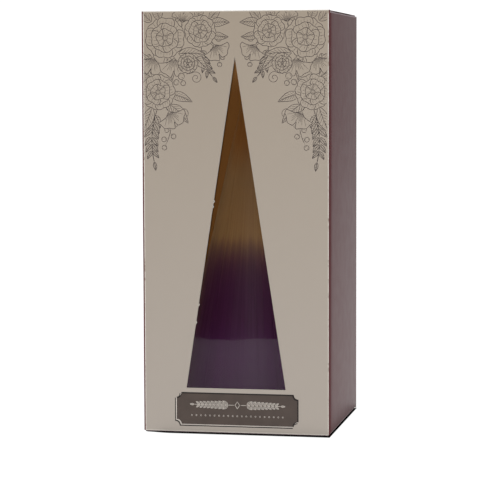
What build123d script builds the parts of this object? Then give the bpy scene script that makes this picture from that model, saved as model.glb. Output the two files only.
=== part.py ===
from build123d import *
from math import cos, radians, sin
import os

# A havdalah candle in its folding carton: a tall cone of tapered wax strands, one wick in
# each, standing in a reverse-tuck carton with a triangular window in its front.
# Millimetres, +Z up, the window faces -Y, and the origin is the middle of the base.

# Candle
candle_diameter = 81.0      # across the foot of the cone
wax_height = 163.0          # from the foot to the tip
tip_diameter = 9.0          # across the cone where its sides meet the domed tip
dome_radius = 6.5           # of the domed tip
foot_chamfer = 0.8          # taken off the foot's edge
strand_count = 6
strand_seam = 0.2           # degrees between neighbouring strands
strand_bevel = 0.5          # taken off a strand's two outer edges, so that a groove marks each seam
core_radius = 0.4           # round gap on the axis, where the strands' inner edges meet

# Wicks
wick_diameter = 1.6
wick_clearance = 0.05       # between a wick and its bore, on the radius
wick_depth = 16.5           # from the wax surface to a wick's middle, at the foot
wick_tip_ring = 2.4         # from the candle's axis to a wick's middle, at the tip
wick_bend_height = 2.0      # above the tip, where a wick turns upright
wick_bend_radius = 6.0
wick_out = 12.0             # bare wick above the tip

# Carton
board = 0.6                 # thickness of the paperboard
side_clearance = 3.9        # from the candle's foot to each wall
headroom = 22.4             # from the wick ends to the folded flaps above them
wall_fold_radius = 1.2      # outside, where the board bends round an upright fold
crease_radius = 0.5         # outside rounding of the lids' and flaps' folds
fold_gap = 0.1              # between boards that fold past each other

# Window and its film
window_side_margin = 21.0   # from the window's lower corners to the carton's sides
window_bottom_margin = 21.5
window_top_margin = 21.5
film_thickness = 0.2
film_overlap = 6.0          # film behind the board round the window

# Glue flap
glue_flap_width = 14.0
glue_flap_setback = 6.0     # from the ends of the carton
glue_flap_taper = 4.0

# Lids and flaps
lid_side_inset = 1.0        # the lid is this much narrower than the carton on each side
tuck_length = 13.0
tuck_gap = 0.5              # between the tuck flap's fold and the panel it tucks behind
tuck_lean = 8.0             # degrees that the tuck flap leans into the carton
tuck_side_inset = 1.0       # the tuck flap is this much narrower than the lid on each side
tuck_corner_radius = 7.0
dust_flap_gap = 22.0        # between the free edges of two facing dust flaps
dust_turn = 0.5             # turn of a dust flap for each degree of its lid
dust_back_clearance = 1.5   # from a dust flap's root to the lid's fold
dust_tuck_clearance = 1.2   # from a dust flap to the tuck flap that passes it
dust_front_taper = 4.0
dust_corner_radius = 4.0

# Worked out from the sizes above
foot_radius = candle_diameter / 2
tip_radius = tip_diameter / 2
carton_width = candle_diameter + 2 * side_clearance + 2 * board
carton_depth = carton_width
flap_level = 2 * board + fold_gap
carton_height = wax_height + wick_out + headroom + 2 * flap_level
half_width = carton_width / 2
half_depth = carton_depth / 2


def wick_run():
    """Points of a strand's wick: from below the foot, straight up the cone, then upright."""
    foot = Vector(foot_radius - wick_depth, 0, 0)
    bend = Vector(wick_tip_ring, 0, wax_height + wick_bend_height)
    end = Vector(wick_tip_ring, 0, wax_height + wick_out)
    below_foot = foot + (foot - bend).normalized() * wick_diameter
    return below_foot, bend, end


def tube(path, diameter):
    """Round tube along a path."""
    return sweep(Plane(origin=path @ 0, z_dir=path % 0) * Circle(diameter / 2), path=path)


def rounding_cutters():
    """Rings that round the candle's tip into a dome and take the sharp edge off its foot."""
    top = wax_height + tip_radius
    dome_drop = dome_radius - (dome_radius**2 - tip_radius**2) ** 0.5
    dome_edge = (tip_radius, wax_height - dome_drop)
    dome = RadiusArc((0, wax_height), dome_edge, dome_radius)
    outside = foot_radius + foot_chamfer
    above_dome = Polyline((0, wax_height), (0, top), (outside, top), (outside, dome_edge[1]), dome_edge)
    foot_corners = [(foot_radius - foot_chamfer, 0), (outside, 0), (outside, 2 * foot_chamfer)]
    tip_ring = revolve(Plane.XZ * make_face([dome, above_dome]), Axis.Z)
    return tip_ring + revolve(Plane.XZ * Polygon(*foot_corners, align=None), Axis.Z)


def strand():
    """One tapered wax strand, a sector of the cone, with the bore that its wick runs in."""
    corners = [(core_radius, 0), (foot_radius, 0), (tip_radius, wax_height), (core_radius, wax_height)]
    sector = 360 / strand_count - strand_seam
    wedge = revolve(Plane.XZ * Polygon(*corners, align=None), Axis.Z, sector)
    side_edges = wedge.edges().filter_by(GeomType.LINE).group_by(SortBy.LENGTH)[-1]
    wedge = Rot(0, 0, -sector / 2) * chamfer(side_edges, strand_bevel)
    below_foot, above_tip, _ = wick_run()
    bore = tube(Line(below_foot, above_tip), wick_diameter + 2 * wick_clearance)
    return wedge - rounding_cutters() - bore


def wick():
    """One wick, cut level with the candle's foot."""
    path = FilletPolyline(*wick_run(), radius=wick_bend_radius)
    return split(tube(path, wick_diameter), Plane.XY, keep=Keep.TOP)


def candle_pieces():
    """Strands and wicks in a ring, the first strand facing the window."""
    places = ["front", "front_right", "back_right", "back", "back_left", "front_left"]
    one_strand = strand()
    one_wick = wick()
    pieces = {}
    for number, place in enumerate(places):
        turn = Pos(0, 0, flap_level) * Rot(0, 0, -90 + number * 360 / strand_count)
        pieces[f"wax_strand_{place}"] = turn * one_strand
        pieces[f"wick_{place}"] = turn * one_wick
    return pieces


def upright(points):
    """Face through (x, z) points of a panel that stands across Y."""
    return Polygon(*points, align=None)


def wall_across(low, high, face):
    """Front (-1) or back (+1) wall between two heights, bent round at its two upright folds."""
    outer = RectangleRounded(carton_width, carton_depth, wall_fold_radius)
    inner = RectangleRounded(carton_width - 2 * board, carton_depth - 2 * board, wall_fold_radius - board)
    band = Pos(0, face * (half_depth - wall_fold_radius / 2)) * Rectangle(carton_width, wall_fold_radius)
    return extrude(Plane.XY.offset(low) * ((outer - inner) & band), high - low)


def front_panel():
    """Front wall, with the window cut through it."""
    behind = Plane.XZ.offset(half_depth - wall_fold_radius)
    return wall_across(board, carton_height, -1) - extrude(behind * window_outline(), wall_fold_radius)


def window_outline():
    """Tall triangle of the window."""
    half_base = half_width - window_side_margin
    top = carton_height - window_top_margin
    return upright([(-half_base, window_bottom_margin), (half_base, window_bottom_margin), (0, top)])


def window_film():
    """Clear film glued behind the window."""
    half_film = half_width - window_side_margin + film_overlap
    low = window_bottom_margin - film_overlap
    high = carton_height - window_top_margin + film_overlap
    outline = upright([(-half_film, low), (half_film, low), (half_film, high), (-half_film, high)])
    return extrude(Plane.XZ.offset(half_depth - board - film_thickness) * outline, film_thickness)


def side_panel(outside):
    """Left (-1) or right (+1) wall, between the front and back walls."""
    reach = half_depth - wall_fold_radius
    outline = Polygon(
        (-reach, flap_level),
        (reach, flap_level),
        (reach, carton_height - flap_level),
        (-reach, carton_height - flap_level),
        align=None,
    )
    return extrude(Plane.YZ.offset(outside * (half_width - board)) * outline, outside * board)


def glue_flap():
    """Flap of the back wall, glued inside the left wall, its ends tapered."""
    root = half_depth - wall_fold_radius
    free = root - glue_flap_width
    low = glue_flap_setback
    high = carton_height - glue_flap_setback
    outline = Polygon(
        (root, low),
        (root, high),
        (free, high - glue_flap_taper),
        (free, low + glue_flap_taper),
        align=None,
    )
    return extrude(Plane.YZ.offset(board - half_width) * outline, board)


tuck_fold = board + tuck_gap - half_depth    # Y of the fold between the top lid and its tuck flap


def lid():
    """Top lid, from its fold on the back wall to the fold of its tuck flap."""
    half_lid = half_width - lid_side_inset
    outline = Polygon(
        (-half_lid, tuck_fold),
        (half_lid, tuck_fold),
        (half_lid, half_depth),
        (-half_lid, half_depth),
        align=None,
    )
    sheet = extrude(Plane.XY.offset(carton_height - board) * outline, board)
    folds = sheet.edges().filter_by(Axis.X).filter_by_position(Axis.Z, carton_height, carton_height)
    return fillet(folds, crease_radius)


def tuck_flap():
    """Flap of the top lid that tucks behind the front wall, leaning into the carton."""
    half_tuck = half_width - lid_side_inset - tuck_side_inset
    lean = radians(tuck_lean)
    root = board * (1 + sin(lean)) / cos(lean) + fold_gap
    tip = root + tuck_length
    outline = upright([(-half_tuck, -tip), (half_tuck, -tip), (half_tuck, -root), (-half_tuck, -root)])
    tip_corners = outline.vertices().group_by(Axis.Y)[0]
    outline = fillet(tip_corners, tuck_corner_radius)
    sheet = extrude(Plane.XZ * outline, -board)
    return Pos(0, tuck_fold, carton_height) * Rot(tuck_lean, 0, 0) * sheet


def dust_flap(outside):
    """Left (-1) or right (+1) dust flap, cut back so that it clears the lid as both open."""
    length = half_width - dust_flap_gap / 2
    back = half_depth - dust_back_clearance
    front = tuck_fold + board + dust_tuck_clearance
    free = half_width - length
    outline = Polygon(
        (outside * half_width, front),
        (outside * half_width, back),
        (outside * free, back - dust_turn * length),
        (outside * free, front + dust_front_taper),
        align=None,
    )
    free_corners = [corner for corner in outline.vertices() if abs(corner.X) < half_width - length / 2]
    outline = fillet(free_corners, dust_corner_radius)
    sheet = extrude(Plane.XY.offset(carton_height - flap_level) * outline, board, dir=(0, 0, 1))
    top_edges = sheet.edges().filter_by(Axis.Y).group_by(Axis.Z)[-1]
    root_fold = top_edges.sort_by(lambda edge: abs(edge.center().X))[-1]
    return fillet(root_fold, crease_radius)


def closure_pieces():
    """Lid, tuck flap and dust flaps of both ends; the lower end is the upper one turned over."""
    upper = {
        "lid": lid(),
        "tuck_flap": tuck_flap(),
        "left_dust_flap": dust_flap(-1),
        "right_dust_flap": dust_flap(1),
    }
    turn_over = Pos(0, 0, carton_height) * Rot(180, 0, 0)
    pieces = {f"top_{name}": piece for name, piece in upper.items()}
    for name, piece in upper.items():
        pieces[f"bottom_{name}"] = turn_over * piece
    return pieces


def wall_pieces():
    """Four walls, the glue flap that closes them into a tube, and the window's film."""
    return {
        "front_panel": front_panel(),
        "back_panel": wall_across(0, carton_height - board, 1),
        "left_panel": side_panel(-1),
        "right_panel": side_panel(1),
        "glue_flap": glue_flap(),
        "window_film": window_film(),
    }


os.makedirs("parts", exist_ok=True)
for node, shape in {**wall_pieces(), **closure_pieces(), **candle_pieces()}.items():
    export_step(shape, f"parts/{node}.step")
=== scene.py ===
"""Looks of a havdalah candle in its window carton: printed boards, clear film, wax strands and wicks."""

from __future__ import annotations

import logging
import math
from dataclasses import dataclass
from enum import Enum
from typing import Callable, Mapping, Sequence, Union

import bpy
from mathutils import Matrix, Vector, noise

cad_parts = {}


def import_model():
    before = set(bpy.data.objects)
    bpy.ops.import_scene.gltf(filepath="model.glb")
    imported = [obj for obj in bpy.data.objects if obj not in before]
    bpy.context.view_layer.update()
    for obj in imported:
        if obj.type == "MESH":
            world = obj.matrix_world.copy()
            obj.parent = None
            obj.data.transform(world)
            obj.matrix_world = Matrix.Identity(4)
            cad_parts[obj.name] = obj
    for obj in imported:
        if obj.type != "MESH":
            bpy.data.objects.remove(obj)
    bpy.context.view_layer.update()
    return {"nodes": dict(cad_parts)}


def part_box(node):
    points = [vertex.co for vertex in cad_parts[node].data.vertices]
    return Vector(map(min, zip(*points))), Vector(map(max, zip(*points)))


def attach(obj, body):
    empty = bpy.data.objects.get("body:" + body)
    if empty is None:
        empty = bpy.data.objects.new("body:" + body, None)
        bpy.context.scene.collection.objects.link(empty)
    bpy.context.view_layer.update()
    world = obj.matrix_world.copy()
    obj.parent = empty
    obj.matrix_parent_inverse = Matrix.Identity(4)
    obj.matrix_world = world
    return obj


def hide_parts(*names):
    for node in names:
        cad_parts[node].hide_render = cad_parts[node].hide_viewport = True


LOG = logging.getLogger("window_carton")
MM = 0.001

Colour = tuple[float, float, float, float]
Place = tuple[float, float, float]
Point = tuple[float, float]
Span = tuple[float, float]
Socket = bpy.types.NodeSocket
Sockets = bpy.types.bpy_prop_collection
Setting = Union[float, Sequence[float], Socket]


def colour(red: float, green: float, blue: float) -> Colour:
    """Opaque linear colour."""
    return (red, green, blue, 1.0)


WHITE = colour(1.0, 1.0, 1.0)


class NodeGraph:
    """A node tree that is filled one node at a time."""

    def __init__(self, tree: bpy.types.NodeTree) -> None:
        """Starts on an empty tree.

        Args:
            tree: Tree of a material, of the world or of a node group.
        """
        self.tree = tree
        self.tree.nodes.clear()

    def node(
        self,
        kind: str,
        inputs: Mapping[Union[str, int], Setting] | None = None,
        **settings: object,
    ) -> bpy.types.Node:
        """Adds a node.

        Args:
            kind: Node type, without its ShaderNode prefix.
            inputs: Values, or sockets to link, by input name or number.
            settings: Properties of the node itself.

        Returns:
            The new node.
        """
        made = self.tree.nodes.new("ShaderNode" + kind)
        for name, value in settings.items():
            setattr(made, name, value)
        for key, value in (inputs or {}).items():
            if isinstance(value, Socket):
                self.tree.links.new(value, made.inputs[key])
            else:
                made.inputs[key].default_value = value
        return made

    def place(self) -> Socket:
        """Place of the shaded point in its piece's own coordinates."""
        return self.node("TexCoord").outputs["Object"]

    def coordinates(self) -> Sockets:
        """The shaded point's place across, back and up."""
        return self.node("SeparateXYZ", {0: self.place()}).outputs

    def math(
        self,
        operation: str,
        first: Setting,
        second: Setting = 0.0,
        third: Setting = 0.0,
        clamp: bool = False,
    ) -> Socket:
        """Adds a Math node.

        Args:
            operation: Name of the operation.
            first: Its first value.
            second: Its second value, where it takes two.
            third: Its third value, where it takes three.
            clamp: True to keep the result between 0 and 1.

        Returns:
            The result's socket.
        """
        values = {0: first, 1: second, 2: third}
        return self.node("Math", values, operation=operation, use_clamp=clamp).outputs[0]

    def step(self, value: Setting, start: float, end: float) -> Socket:
        """Adds a smooth step.

        Args:
            value: Value that is mapped.
            start: Value that gives 0.
            end: Value that gives 1.

        Returns:
            The mapped value's socket.
        """
        limits = {0: value, 1: start, 2: end, 3: 0.0, 4: 1.0}
        return self.node("MapRange", limits, interpolation_type="SMOOTHSTEP").outputs[0]

    def mix(self, share: Setting, first: Setting, second: Setting, blend: str = "MIX") -> Socket:
        """Mixes two colours.

        Args:
            share: Share of the second colour.
            first: The first colour.
            second: The second colour.
            blend: How the second is laid on the first.

        Returns:
            The mixed colour's socket.
        """
        inputs = {0: share, 6: first, 7: second}
        return self.node("Mix", inputs, data_type="RGBA", blend_type=blend).outputs[2]

    def stretched_noise(self, vector: Setting, stretch: Place, scale: float, detail: float) -> Socket:
        """Adds noise that is drawn out along some axes.

        Args:
            vector: Coordinates of the noise.
            stretch: Scale of each axis.
            scale: Noise scale, in waves per metre.
            detail: Octaves of the noise.

        Returns:
            The noise value's socket.
        """
        mapped = self.node("Mapping", {"Vector": vector, "Scale": stretch})
        inputs = {"Vector": mapped.outputs[0], "Scale": scale, "Detail": detail}
        return self.node("TexNoise", inputs).outputs[0]


def new_material(name: str) -> tuple[bpy.types.Material, NodeGraph]:
    """Makes a material with an empty tree.

    Args:
        name: Of the material.

    Returns:
        The material and its tree.
    """
    made = bpy.data.materials.new(name)
    made.use_nodes = True
    return made, NodeGraph(made.node_tree)


class EffectGroup:
    """A shader node group that several materials share."""

    def __init__(self, name: str, inputs: Mapping[str, str], outputs: Sequence[str]) -> None:
        """Makes the group and its sockets.

        Args:
            name: Name of the group.
            inputs: Socket type of each input.
            outputs: Names of its outputs, which are all values.
        """
        self.tree = bpy.data.node_groups.new(name, "ShaderNodeTree")
        self.graph = NodeGraph(self.tree)
        for socket, kind in inputs.items():
            self.tree.interface.new_socket(socket, in_out="INPUT", socket_type=kind)
        for socket in outputs:
            self.tree.interface.new_socket(socket, in_out="OUTPUT", socket_type="NodeSocketFloat")
        self.inputs = self.tree.nodes.new("NodeGroupInput").outputs
        self.outputs = self.tree.nodes.new("NodeGroupOutput").inputs

    def put_out(self, socket: str, value: Socket) -> None:
        """Links a value to one of the group's outputs."""
        self.tree.links.new(value, self.outputs[socket])

    def placed(self, graph: NodeGraph, inputs: Mapping[str, Setting]) -> Sockets:
        """Outputs of the group, placed in a material's tree with these inputs."""
        return graph.node("Group", inputs, node_tree=self.tree).outputs


def paper_fibre_group() -> EffectGroup:
    """Makes the fibres and calender marks of paperboard.

    Returns:
        The group, which gives a mottle from 0 to 1 and a height.
    """
    group = EffectGroup("paper_fibre", {"Scale": "NodeSocketFloat"}, ("Mottle", "Height"))
    graph = group.graph
    inputs = {0: graph.place(), "Scale": group.inputs["Scale"]}
    scaled = graph.node("VectorMath", inputs, operation="SCALE").outputs[0]
    cloud = graph.stretched_noise(scaled, (1.0, 1.0, 1.0), scale=160.0, detail=4.0)
    fibre = graph.stretched_noise(scaled, (1.0, 1.0, 0.35), scale=3200.0, detail=2.0)
    cloud_share = 0.4
    group.put_out("Mottle", graph.step(cloud, 0.3, 0.7))
    group.put_out("Height", graph.math("MULTIPLY_ADD", cloud, cloud_share, fibre))
    return group


def print_side_group() -> EffectGroup:
    """Makes the masks of a board's printed face, which looks to the input Outside.

    Returns:
        The group, with masks of the print, the inside, bent print and faces that look across.
    """
    masks = ("Printed", "Inside", "Turned", "Sideways")
    group = EffectGroup("print_side", {"Outside": "NodeSocketVector"}, masks)
    graph = group.graph
    normal = graph.node("TexCoord").outputs["Normal"]
    inputs = {0: normal, 1: group.inputs["Outside"]}
    facing = graph.node("VectorMath", inputs, operation="DOT_PRODUCT").outputs["Value"]
    limits = {"Printed": (0.02, 0.08), "Inside": (-0.5, -0.6), "Turned": (0.98, 0.94)}
    for mask, (start, end) in limits.items():
        group.put_out(mask, graph.step(facing, start, end))
    across = graph.math("ABSOLUTE", graph.node("SeparateXYZ", {0: normal}).outputs[0])
    group.put_out("Sideways", graph.step(across, 0.3, 0.4))
    return group


def streak_group() -> EffectGroup:
    """Makes fine streaks that run up a round body.

    Returns:
        The group, which gives a value from 0 to 1.
    """
    inputs = {"Turns": "NodeSocketFloat", "Climb": "NodeSocketFloat"}
    group = EffectGroup("upright_streaks", inputs, ("Streak",))
    graph = group.graph
    across, back, up = graph.coordinates()
    around = graph.math("ARCTAN2", across, graph.math("MULTIPLY", back, -1.0))
    sampled = graph.node("CombineXYZ", {
        0: graph.math("MULTIPLY", around, group.inputs["Turns"]),
        1: graph.math("MULTIPLY", up, group.inputs["Climb"]),
    }).outputs[0]
    wave = graph.node("TexNoise", {"Vector": sampled, "Scale": 1.0, "Detail": 3.0}).outputs[0]
    group.put_out("Streak", graph.step(wave, 0.3, 0.7))
    return group


@dataclass(frozen=True)
class SharedEffects:
    """Node groups that the materials share."""

    paper_fibre: EffectGroup
    print_side: EffectGroup
    streaks: EffectGroup

    @classmethod
    def build(cls) -> SharedEffects:
        """Makes each group once."""
        return cls(paper_fibre_group(), print_side_group(), streak_group())


class Outside(Enum):
    """Direction that a board's printed face looks in, while the carton is closed."""

    FRONT = (0.0, -1.0, 0.0)
    BACK = (0.0, 1.0, 0.0)
    LEFT = (-1.0, 0.0, 0.0)
    RIGHT = (1.0, 0.0, 0.0)
    TOP = (0.0, 0.0, 1.0)
    BOTTOM = (0.0, 0.0, -1.0)


# Front beige, darker at the top and lighter at the foot: a painted light for the bounce from the white
# table.
BEIGE_SHADED_TOP = colour(0.373, 0.309, 0.241)
BEIGE_LIT_FOOT = colour(0.455, 0.404, 0.356)
PLUM_INK = colour(0.115, 0.022, 0.025)
# Pale plum of worn ink, which on the dust flaps' folds is also a painted highlight.
WORN_AND_LIT_PLUM = colour(0.40, 0.30, 0.32)
# Painted shadow of the gap between a lid and the dust flap below it.
LID_SLIT_SHADOW = colour(0.050, 0.008, 0.004)
RAW_BOARD = colour(0.425, 0.171, 0.039)
# Paler raw board: painted light for the inside high up in the carton.
LIT_BOARD_HIGH = colour(0.62, 0.29, 0.095)
RAW_EDGE = colour(0.74, 0.70, 0.63)
RAW_ROUGHNESS = 0.9
MOTTLE_ROUGHNESS = 0.03
MOTTLE_SHADE = 0.97
BARE_MOTTLE = 0.008
BLEED_BLUR = 0.2 * MM


@dataclass(frozen=True)
class BoardFinish:
    """Paperboard that is printed on one face and raw on the other.

    Attributes:
        name: First word of its materials' names.
        ink: Colour of the printed face, at its foot where there is an ink_shaded_top.
        ink_shaded_top: Colour of the printed face at the carton's top; from there down the face grows
            lighter, a painted light for the table's bounce.
        wraps: True if the ink turns to plum round the upright folds.
        bleed: Width of printed board along the root of a flap, or 0 for print all over.
        roughness: Of the printed face.
        gloss: Specular level of the printed face.
        bow: How far the board's middle seems to stand out, from front to back.
        crease_power: How close the crease of a bowed board keeps to its front fold.
        crease_share: Depth of that crease, as a share of the bow.
        edge: Colour of the cut edges.
        slit_shadow: Colour painted on the cut edges' middle as the shadow of the gap beside them.
        slit_shadow_span: Shares of the half depth between which that painted shadow comes in.
        fold_shade: Share of the ink's colour that stays where the print turns round a fold; below 1 this
            is a painted shade for the dark gap at the carton's foot.
        fibre_height: Depth of the board's fibres under the print.
        print_shift: How far to the left the print's turns lie.
        crack_and_highlight_line: Distances from the carton's side at which a fold's cracked line begins
            and is full; the line is partly cracked ink and partly a painted highlight on the fold.
        plum_line: Distances from the carton's side at which the plum begins and is full.
        wear_and_highlight_line: Distances from the walls' ends at which their pale band begins and is
            full.
        wear_and_highlight: Share of raw board that shows at those ends: wear at the top, a painted
            highlight of the bottom fold at the foot.
        painted_light_heights: Heights between which the raw inside turns paler, a painted light high
            inside the carton.
    """

    name: str
    ink: Colour
    ink_shaded_top: Colour | None = None
    wraps: bool = False
    bleed: float = 0.0
    roughness: float = 0.5
    gloss: float = 0.3
    bow: float = 0.0
    crease_power: float = 18.0
    crease_share: float = 1.5
    edge: Colour = RAW_EDGE
    slit_shadow: Colour | None = None
    slit_shadow_span: Span = (0.8, 0.5)
    fold_shade: float = 1.0
    fibre_height: float = 0.0012 * MM
    print_shift: float = 0.4 * MM
    crack_and_highlight_line: Span = (0.90 * MM, 0.80 * MM)
    plum_line: Span = (0.52 * MM, 0.46 * MM)
    wear_and_highlight_line: Span = (0.55 * MM, 0.30 * MM)
    wear_and_highlight: float = 0.6
    painted_light_heights: Span = (160 * MM, 176 * MM)

    def material(self, outside: Outside, shared: SharedEffects) -> bpy.types.Material:
        """Makes the board's material.

        Args:
            outside: Side that the printed face looks to.
            shared: Node groups of the scene.

        Returns:
            The material.
        """
        made, graph = new_material(f"{self.name}_{outside.name.lower()}")
        faces = shared.print_side.placed(graph, {"Outside": outside.value})
        fibre = shared.paper_fibre.placed(graph, {"Scale": 1.0})
        ink, printed = self.printing(graph, faces, fibre["Mottle"])
        height = self.relief(graph, fibre["Height"])
        bump = graph.node("Bump", {"Strength": 1.0, "Distance": 1.0, "Height": height})
        smoothed = graph.math("MULTIPLY_ADD", printed, self.roughness - RAW_ROUGHNESS, RAW_ROUGHNESS)
        shader = graph.node("BsdfPrincipled", {
            "Base Color": graph.mix(printed, self.bare(graph, faces["Inside"]), ink),
            "Roughness": graph.math("MULTIPLY_ADD", fibre["Mottle"], MOTTLE_ROUGHNESS, smoothed),
            "Specular IOR Level": self.gloss,
            "Normal": bump.outputs[0],
        })
        graph.node("OutputMaterial", {0: shader.outputs[0]})
        return made

    def darker(self, share: float) -> Colour:
        """The ink's colour times a share."""
        return colour(*(share * part for part in self.ink[:3]))

    def printing(self, graph: NodeGraph, faces: Sockets, mottle: Socket) -> tuple[Socket, Socket]:
        """Adds the print.

        Args:
            graph: The material's tree.
            faces: Masks of the board's faces.
            mottle: Mottle of the paper.

        Returns:
            The sockets of the print's colour and of the mask of the faces that carry it.
        """
        across, _, height = graph.coordinates()
        ink = self.face_ink(graph, mottle, height)
        printed = faces["Printed"]
        if self.wraps:
            ink, turned = self.wrapped_ink(graph, ink, across, height)
            printed = graph.math("MAXIMUM", printed, graph.math("MULTIPLY", turned, faces["Sideways"]))
        if self.bleed:
            # Pale plum on the flap's fold: worn ink together with a painted highlight.
            ink = graph.mix(faces["Sideways"], ink, WORN_AND_LIT_PLUM)
            shown = graph.math("MAXIMUM", printed, faces["Sideways"])
            printed = graph.math("MULTIPLY", shown, self.bleed_mask(graph, across))
        # Painted shade where the print turns round a fold.
        if self.fold_shade < 1.0:
            ink = graph.mix(faces["Turned"], ink, self.darker(self.fold_shade))
        return ink, printed

    def face_ink(self, graph: NodeGraph, mottle: Socket, height: Socket) -> Socket:
        """Adds the colour of the flat printed face, with painted light that makes it lighter towards its
        foot where a top colour is given.

        Args:
            graph: The material's tree.
            mottle: Mottle of the paper.
            height: Above the table.

        Returns:
            The colour's socket.
        """
        if not self.ink_shaded_top:
            return graph.mix(mottle, self.darker(MOTTLE_SHADE), self.ink)
        # Painted light: the face grows lighter towards its foot, for the table's bounce light.
        risen = graph.math("DIVIDE", height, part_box("front_panel")[1].z, clamp=True)
        lit_gradient = graph.mix(risen, self.ink, self.ink_shaded_top)
        return graph.mix(graph.math("MULTIPLY", mottle, BARE_MOTTLE), lit_gradient, RAW_EDGE)

    def wrapped_ink(
        self,
        graph: NodeGraph,
        ink: Socket,
        across: Socket,
        height: Socket,
    ) -> tuple[Socket, Socket]:
        """Adds pale ends, the cracked white line and the plum of the next wall round an upright fold; the
        pale foot is a painted highlight, and the white line is partly one.

        Args:
            graph: The material's tree.
            ink: Colour of the face.
            across: Place across the carton.
            height: Above the table.

        Returns:
            The sockets of the colour and of the plum's mask.
        """
        low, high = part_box("front_panel")
        out = graph.math("MAXIMUM", across, graph.math("SUBTRACT", self.print_shift, across))
        # Raw board at the fold: cracked ink, and also a painted highlight on the fold's turn.
        cracked_and_lit = graph.step(out, *(high.x - inset for inset in self.crack_and_highlight_line))
        turned = graph.step(out, *(high.x - inset for inset in self.plum_line))
        upright = (0.02, 0.02, 1.0)
        chips = graph.stretched_noise(graph.place(), upright, scale=420.0, detail=4.0)
        cracked_and_lit = graph.math("MULTIPLY", cracked_and_lit, graph.step(chips, 0.28, 0.5))
        # Pale band: wear at the top, a painted highlight of the bottom fold at the foot.
        top = graph.step(height, *(high.z - inset for inset in self.wear_and_highlight_line))
        foot = graph.step(height, *(low.z + inset for inset in self.wear_and_highlight_line))
        worn = graph.math("MULTIPLY", graph.math("MAXIMUM", top, foot), self.wear_and_highlight)
        ink = graph.mix(graph.math("MAXIMUM", cracked_and_lit, worn), ink, RAW_EDGE)
        return graph.mix(turned, ink, PLUM_INK), turned

    def bleed_mask(self, graph: NodeGraph, across: Socket) -> Socket:
        """Mask of the printed strip along a dust flap's fold."""
        start = -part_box("left_panel")[0].x - self.bleed
        return graph.step(graph.math("ABSOLUTE", across), start, start + BLEED_BLUR)

    def bare(self, graph: NodeGraph, inside: Socket) -> Socket:
        """Adds the colour of the unprinted inside and of the cut edges, with a painted gap shadow on lid
        edges and painted light on the inside high up.

        Args:
            graph: The material's tree.
            inside: Mask of the face that looks into the carton.

        Returns:
            The colour's socket.
        """
        _, back, height = graph.coordinates()
        if self.wraps:
            inside = graph.math("MULTIPLY", inside, self.between_flaps(graph, height))
        edge = self.edge
        # Painted shadow of the gap beside a lid's side edges.
        if self.slit_shadow:
            edge = graph.mix(self.slit_shadow_mask(graph, back), self.edge, self.slit_shadow)
        # Painted light: the raw inside turns paler high up.
        raw = graph.mix(graph.step(height, *self.painted_light_heights), RAW_BOARD, LIT_BOARD_HIGH)
        return graph.mix(inside, edge, raw)

    def between_flaps(self, graph: NodeGraph, height: Socket) -> Socket:
        """Adds the mask of the heights between the lower and the upper dust flaps.

        Args:
            graph: The material's tree.
            height: Above the table.

        Returns:
            The mask's socket.
        """
        low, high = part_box("left_panel")
        blur = 0.1 * MM
        above = graph.step(height, low.z, low.z + blur)
        below = graph.step(height, high.z, high.z - blur)
        return graph.math("MULTIPLY", above, below)

    def slit_shadow_mask(self, graph: NodeGraph, back: Socket) -> Socket:
        """Mask of the painted gap shadow in the middle of a lid's side edges, from front to back."""
        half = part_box("left_panel")[1].y
        return graph.step(graph.math("ABSOLUTE", back), *(share * half for share in self.slit_shadow_span))

    def relief(self, graph: NodeGraph, fibre: Socket) -> Socket:
        """Adds the height of the surface: fibres, and a bowed wall's hollow with its front crease.

        Args:
            graph: The material's tree.
            fibre: Height of the paper's fibres, from 0 to about 1.

        Returns:
            The height's socket, in metres.
        """
        _, back, _ = graph.coordinates()
        depth = graph.math("DIVIDE", back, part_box("left_panel")[1].y)
        ahead = graph.math("MAXIMUM", graph.math("MULTIPLY", depth, -1.0), 0.0)
        crease = graph.math("MULTIPLY", graph.math("POWER", ahead, self.crease_power), self.crease_share)
        hollow = graph.math("MULTIPLY", graph.math("MULTIPLY_ADD", depth, depth, crease), -self.bow)
        return graph.math("MULTIPLY_ADD", fibre, self.fibre_height, hollow)


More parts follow.
